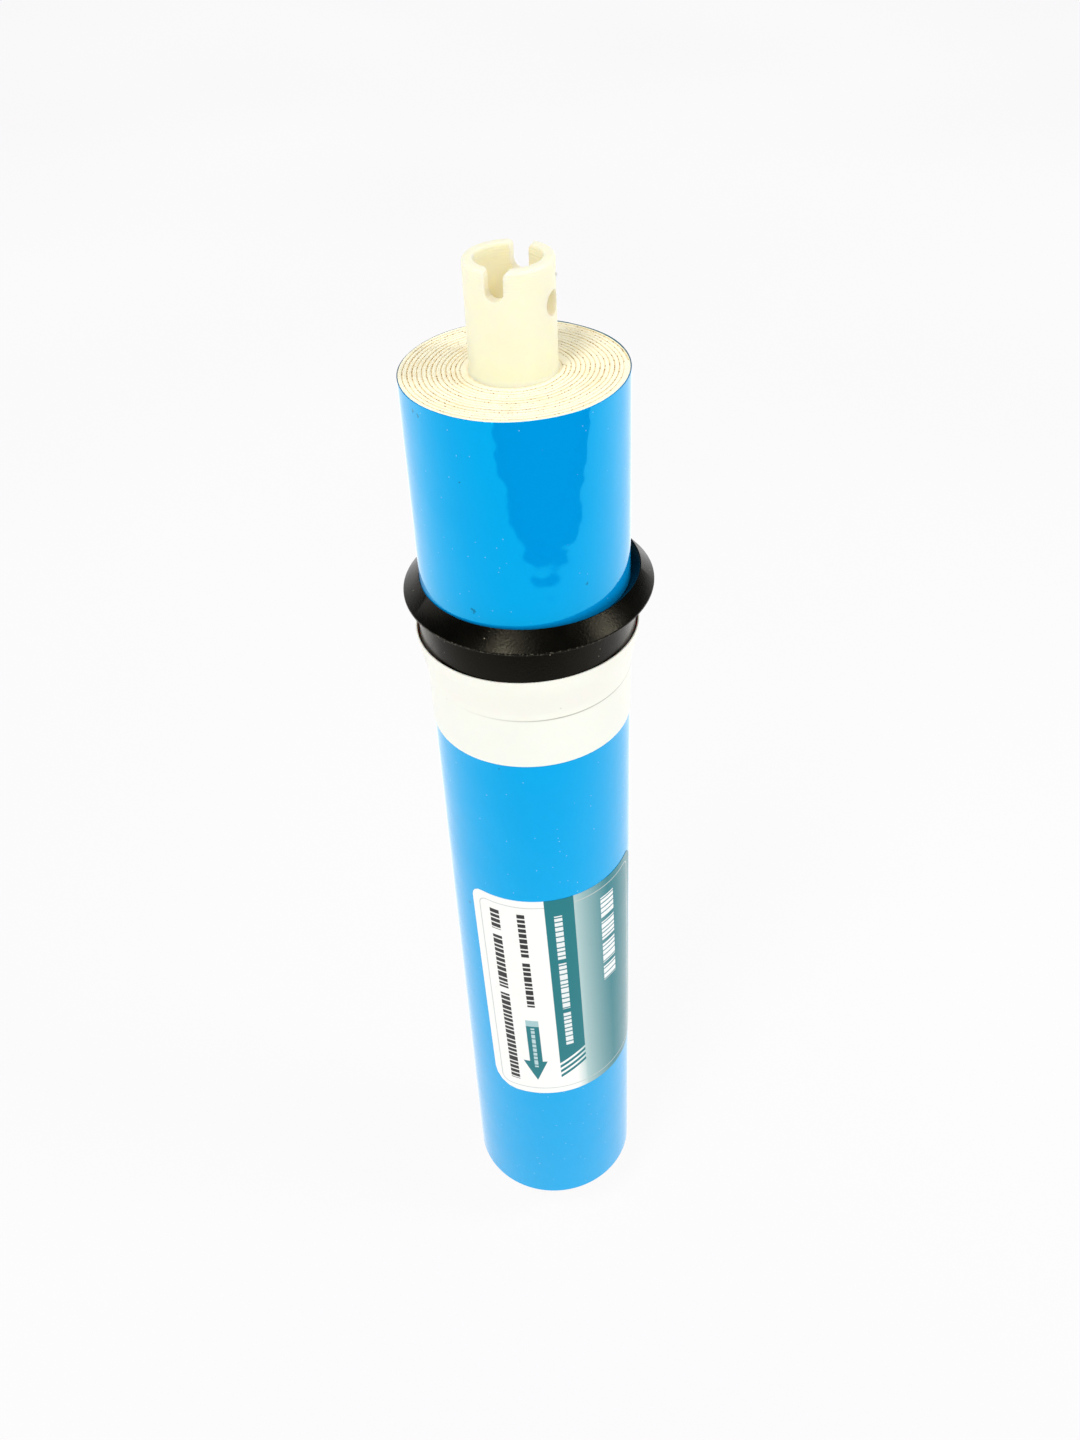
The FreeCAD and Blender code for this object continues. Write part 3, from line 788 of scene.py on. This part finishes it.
def label_film():
    """Coated label film: glossy and white, printed with fields of teal and rows of plain bars."""
    mat, tree, shader, where = start_material("label_coated_film", {"IOR": 1.32, "Roughness": 0.16})
    uv = add(tree, "UVMap", uv_map="print")
    size = (LABEL_WIDTH, LABEL_HEIGHT, 0)
    centred = add(tree, "VectorMath", {0: uv, 1: (0.5, 0.5, 0)}, operation="SUBTRACT")
    flat = add(tree, "VectorMath", {0: centred, 1: size, 2: (0, 0, 1)}, operation="MULTIPLY_ADD")
    split = add(tree, "SeparateXYZ", {"Vector": flat})
    s, t = split.outputs["X"], split.outputs["Y"]

    # Panel: pale beside the band and teal to the right
    along = add(tree, "MapRange", {"Value": s, "From Min": 2.0, "From Max": 12.5})
    fade = add(tree, "Math", {0: along, 1: 0.75}, operation="POWER")
    panel = add(tree, "Mix", {"Factor": fade, 6: linear("#BDD6D4"), 7: linear("#147E88")}, data_type="RGBA")
    right = add(tree, "MapRange", {"Value": s, "From Min": -0.5, "From Max": 2.6})
    paint = add(tree, "Mix", {"Factor": right, 6: linear("#FDFDF9"), 7: panel}, data_type="RGBA")

    # Thin frame set in from the edge
    beyond = add(tree, "VectorMath", {0: flat}, operation="ABSOLUTE")
    inset = (LABEL_WIDTH / 2 - 4.8, LABEL_HEIGHT / 2 - 4.8, 0)
    past = add(tree, "VectorMath", {0: beyond, 1: inset}, operation="SUBTRACT")
    corner = add(tree, "VectorMath", {0: past, 1: (0, 0, 0)}, operation="MAXIMUM")
    level = add(tree, "VectorMath", {0: corner, 1: (1, 1, 0)}, operation="MULTIPLY")
    away = add(tree, "VectorMath", {0: level}, operation="LENGTH")
    line = add(tree, "Math", {0: away.outputs["Value"], 1: 2.5, 2: 0.16}, operation="COMPARE")
    framed = add(tree, "Math", {0: line, 1: 0.8}, operation="MULTIPLY")
    paint = add(tree, "Mix", {"Factor": framed, 6: paint, 7: linear("#C4CDCA")}, data_type="RGBA")

    # Band with a slanted end and three strokes, and the flow arrow
    teal = linear("#167A82")
    left, edge, foot, lift = -5.0, 2.4, -25.8, 4.9
    shapes = [[(left, foot), (edge, foot + lift), (edge, 60), (left, 60)]]
    for k in range(3):
        low = foot - 2.1 * (k + 1)
        shapes.append([(left, low), (edge, low + lift), (edge, low + lift + 1.15), (left, low + 1.15)])
    shapes.append([(-13.1, -25), (-9.6, -25), (-9.6, -9.4), (-13.1, -9.4)])
    shapes.append([(-11.5, -32.7), (-8.3, -24.4), (-14.9, -24.4)])
    for corners in shapes:
        paint = add(tree, "Mix", {"Factor": field(tree, flat, corners), 6: paint, 7: teal}, data_type="RGBA")
    head = field(tree, flat, [(-13.1, -9.4), (-9.6, -9.4), (-9.6, -7.0), (-13.1, -7.0)])
    paint = add(tree, "Mix", {"Factor": head, 6: paint, 7: linear("#A9CDD0")}, data_type="RGBA")

    # Rows of bars, broken up like lines of print
    stroke = add(tree, "TexVoronoi", {"W": t, "Scale": 0.55, "Randomness": 0.7}, voronoi_dimensions="1D",
                 feature="DISTANCE_TO_EDGE")
    broken = add(tree, "MapRange", {"Value": stroke.outputs["Distance"], "From Min": 0.08, "From Max": 0.16})
    rows = [
        ("#2B2B2B", -17.9, 1.3, [(34.0, 26.8), (24.6, 4.6), (2.4, -33.6)]),
        ("#2B2B2B", -11.0, 1.0, [(34.4, 18.0), (16.2, -1.4)]),
        ("#EDF3F2", -1.8, 1.0, [(33.0, 16.8), (15.2, -3.0), (-4.6, -18.2)]),
        ("#BCD8DA", -11.4, 0.5, [(-10.2, -27.0)]),
        ("#F6F9F8", 12.2, 2.3, [(33.0, 25.5), (24.0, 17.0), (15.5, 8.0), (6.5, 1.0)]),
    ]
    for ink, middle, half, spans in rows:
        row = add(tree, "Math", {0: bars(tree, flat, middle, half, spans), 1: broken}, operation="MULTIPLY")
        paint = add(tree, "Mix", {"Factor": row, 6: paint, 7: linear(ink)}, data_type="RGBA")
    dust = add(tree, "Math", {0: specks(tree, where, 4.0, 0.25, 0.25), 1: 0.35}, operation="MULTIPLY")
    colour = add(tree, "Mix", {"Factor": dust, 6: paint, 7: linear("#C9C2B0")}, data_type="RGBA")
    slack = add(tree, "TexNoise", {"Vector": where, "Scale": 1 / 14})
    skin = add(tree, "Bump", {"Height": slack, "Distance": 0.1 * MM})
    plug(shader, {"Base Color": colour, "Normal": skin})
    return mat


# Rings in the lower stub's grooves
RING_SECTION_R = 0.89


def round_ring(node, mat):
    """An O-ring with its round section, on its groove's floor."""
    bm = bmesh.new()
    middle = (foot_of(node) + top_of(node)) / 2
    spot = Vector((STUB_R - GROOVE_DEPTH + RING_SECTION_R, 0, middle)) * MM
    bmesh.ops.create_circle(bm, segments=20, radius=RING_SECTION_R * MM,
                            matrix=Matrix.Translation(spot) @ Matrix.Rotation(math.pi / 2, 4, "X"))
    bmesh.ops.spin(bm, geom=bm.verts[:] + bm.edges[:], cent=(0, 0, 0), axis=(0, 0, 1), angle=2 * math.pi,
                   steps=96, use_merge=True, use_duplicate=False)
    return finish_piece(bm, node.replace("o_ring", "round_ring"), mat, [node])


# Stage: table, lamps and camera
def stage_sheet(name, corners, mat):
    """A flat sheet that belongs to the stage."""
    bm = bmesh.new()
    bm.faces.new([bm.verts.new(c) for c in corners])
    mesh = bpy.data.meshes.new(name)
    bm.to_mesh(mesh)
    bm.free()
    made = bpy.data.objects.new(name, mesh)
    bpy.context.scene.collection.objects.link(made)
    made.data.materials.append(mat)
    return made


def table_white():
    """White table, seen near white with part of its shadow. Reflections see it brighter at the back."""
    mat, tree, shader, where = start_material("table_white_sheet", {
        "Roughness": 0.9, "Specular IOR Level": 0.1})
    broad = add(tree, "TexNoise", {"Vector": where, "Scale": 1 / 500, "Detail": 1.0})
    tone = add(tree, "Mix", {"Factor": broad, 6: linear("#FFFFFF"), 7: linear("#FBF9FB")}, data_type="RGBA")
    plug(shader, {"Base Color": tone})
    seen = add(tree, "LightPath").outputs
    view = add(tree, "Math", {0: seen["Is Camera Ray"], 1: seen["Is Glossy Ray"]}, operation="MAXIMUM")
    through = add(tree, "Math", {0: view, 1: seen["Is Transmission Ray"]}, operation="MAXIMUM")
    share = add(tree, "Math", {0: through, 1: 0.92}, operation="MULTIPLY")
    y = add(tree, "SeparateXYZ", {"Vector": where}).outputs["Y"]
    behind = add(tree, "MapRange", {"Value": y, "From Min": -200.0, "From Max": 200.0, "To Min": -0.06,
                                    "To Max": 0.45})
    strength = add(tree, "Math", {0: seen["Is Glossy Ray"], 1: behind, 2: 1.0}, operation="MULTIPLY_ADD")
    glow = add(tree, "Emission", {"Color": tone, "Strength": strength})
    both = add(tree, "MixShader", {0: share, 1: shader, 2: glow})
    plug(tree.nodes["Material Output"], {"Surface": both})
    return mat


def card_grey():
    """Matt dark card: what lies past the white sheet's front edge and overhead, seen only in reflections."""
    mat, tree, shader, where = start_material("card_dark_grey", {"Roughness": 0.9})
    tone = add(tree, "TexNoise", {"Vector": where, "Scale": 1 / 90})
    colour = add(tree, "Mix", {"Factor": tone, 6: linear("#101010"), 7: linear("#262626")}, data_type="RGBA")
    plug(shader, {"Base Color": colour})
    return mat


def square(half, z):
    """Corners of a level square above the origin."""
    return [(-half, -half, z), (half, -half, z), (half, half, z), (-half, half, z)]


TABLE_HALF = 7
FRONT_CARD_Z = 0.002
FRONT_CARD = [
    (-1.0, -0.81), (-0.257, -0.496), (-0.09, -0.442), (0.057, -0.377), (0.114, -0.361), (0.235, -0.302),
    (0.336, -0.246), (0.545, -0.136), (1.3, 0.26), (2.6, -1.5), (0.2, -2.6),
]
HIGH_CARD = [(-0.6, -0.62, 0.45), (0.7, -0.62, 0.45), (0.7, -0.5, 1.5), (-0.1, -0.5, 1.5)]
OVER_CARD_HALF = 4.5
OVER_CARD_Z = 1.6


def set_table():
    """The table, and three dark cards that only reflections see."""
    stage_sheet("table", square(TABLE_HALF, 0), table_white())
    card = card_grey()
    low = stage_sheet("front_card", [(x, y, FRONT_CARD_Z) for x, y in FRONT_CARD], card)
    high = stage_sheet("high_card", HIGH_CARD, card)
    over = stage_sheet("over_card", square(OVER_CARD_HALF, OVER_CARD_Z), card)
    for sheet in (low, high, over):
        sheet.visible_camera = False
        sheet.visible_diffuse = False
        sheet.visible_transmission = False
        sheet.visible_shadow = False


def lamp(name, spot, size, power):
    """A square soft box that faces the cartridge's middle."""
    data = bpy.data.lights.new(name, "AREA")
    data.size = size
    data.energy = power
    made = bpy.data.objects.new(name, data)
    made.location = spot
    middle = Vector((0, 0, 0.15))
    made.rotation_euler = (middle - Vector(spot)).to_track_quat("-Z", "Y").to_euler()
    bpy.context.scene.collection.objects.link(made)


def light_stage():
    """Two soft boxes above, and a room that is white round the horizon and dimmer overhead."""
    lamp("soft_box_left", (-0.36, -0.6, 1.3), 0.3, 6.6)
    lamp("soft_box_right", (0.95, -0.25, 1.1), 0.3, 4.5)
    world = bpy.data.worlds.new("white_room")
    bpy.context.scene.world = world
    world.use_nodes = True
    tree = world.node_tree
    up = add(tree, "SeparateXYZ", {"Vector": add(tree, "TexCoord").outputs["Generated"]})
    level = add(tree, "MapRange", {"Value": up.outputs["Z"], "From Min": 0.15, "From Max": 0.5, "To Min": 1.0,
                                   "To Max": 0.56})
    plug(tree.nodes["Background"], {"Color": (1, 1, 1, 1), "Strength": level})


CAMERA_SPOT = (0.0005, -0.2425, 0.3888)
CAMERA_PITCH = math.radians(39.713)
CAMERA_YAW = math.radians(0.272)
CAMERA_ROLL = math.radians(-2.839)
CAMERA_LENS = 33.511


def set_camera():
    """Aimed by how far it looks down, how far it is turned to the side and how far it is tipped."""
    flat = math.cos(CAMERA_PITCH)
    ahead = Vector((math.sin(CAMERA_YAW) * flat, math.cos(CAMERA_YAW) * flat, -math.sin(CAMERA_PITCH)))
    level = ahead.cross(Vector((0, 0, 1))).normalized()
    upright = level.cross(ahead)
    right = level * math.cos(CAMERA_ROLL) + upright * math.sin(CAMERA_ROLL)
    top = upright * math.cos(CAMERA_ROLL) - level * math.sin(CAMERA_ROLL)
    data = bpy.data.cameras.new("camera")
    data.lens = CAMERA_LENS
    data.sensor_width = 36
    data.clip_start = 0.01
    made = bpy.data.objects.new("camera", data)
    made.matrix_world = Matrix.Translation(CAMERA_SPOT) @ Matrix((right, top, -ahead)).transposed().to_4x4()
    bpy.context.scene.collection.objects.link(made)
    bpy.context.scene.camera = made


cream = abs_cream()
strand = net_strand()
black_ring = ring_rubber()
core_tube(cream)
gate_nub(cream)
wound_leaf(leaf_paper())
net_floor(strand)
net_ends(strand)
film_wrap(film_blue())
seal_ring(rubber_black())
tape_band(tape_white())
label_sheet(label_film())
round_ring("o_ring_lower", black_ring)
round_ring("o_ring_upper", black_ring)

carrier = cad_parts["permeate_carrier"]
carrier.data.materials.clear()
carrier.data.materials.append(knit_cream())

set_table()
light_stage()
set_camera()
bpy.context.scene.view_settings.view_transform = "Standard"
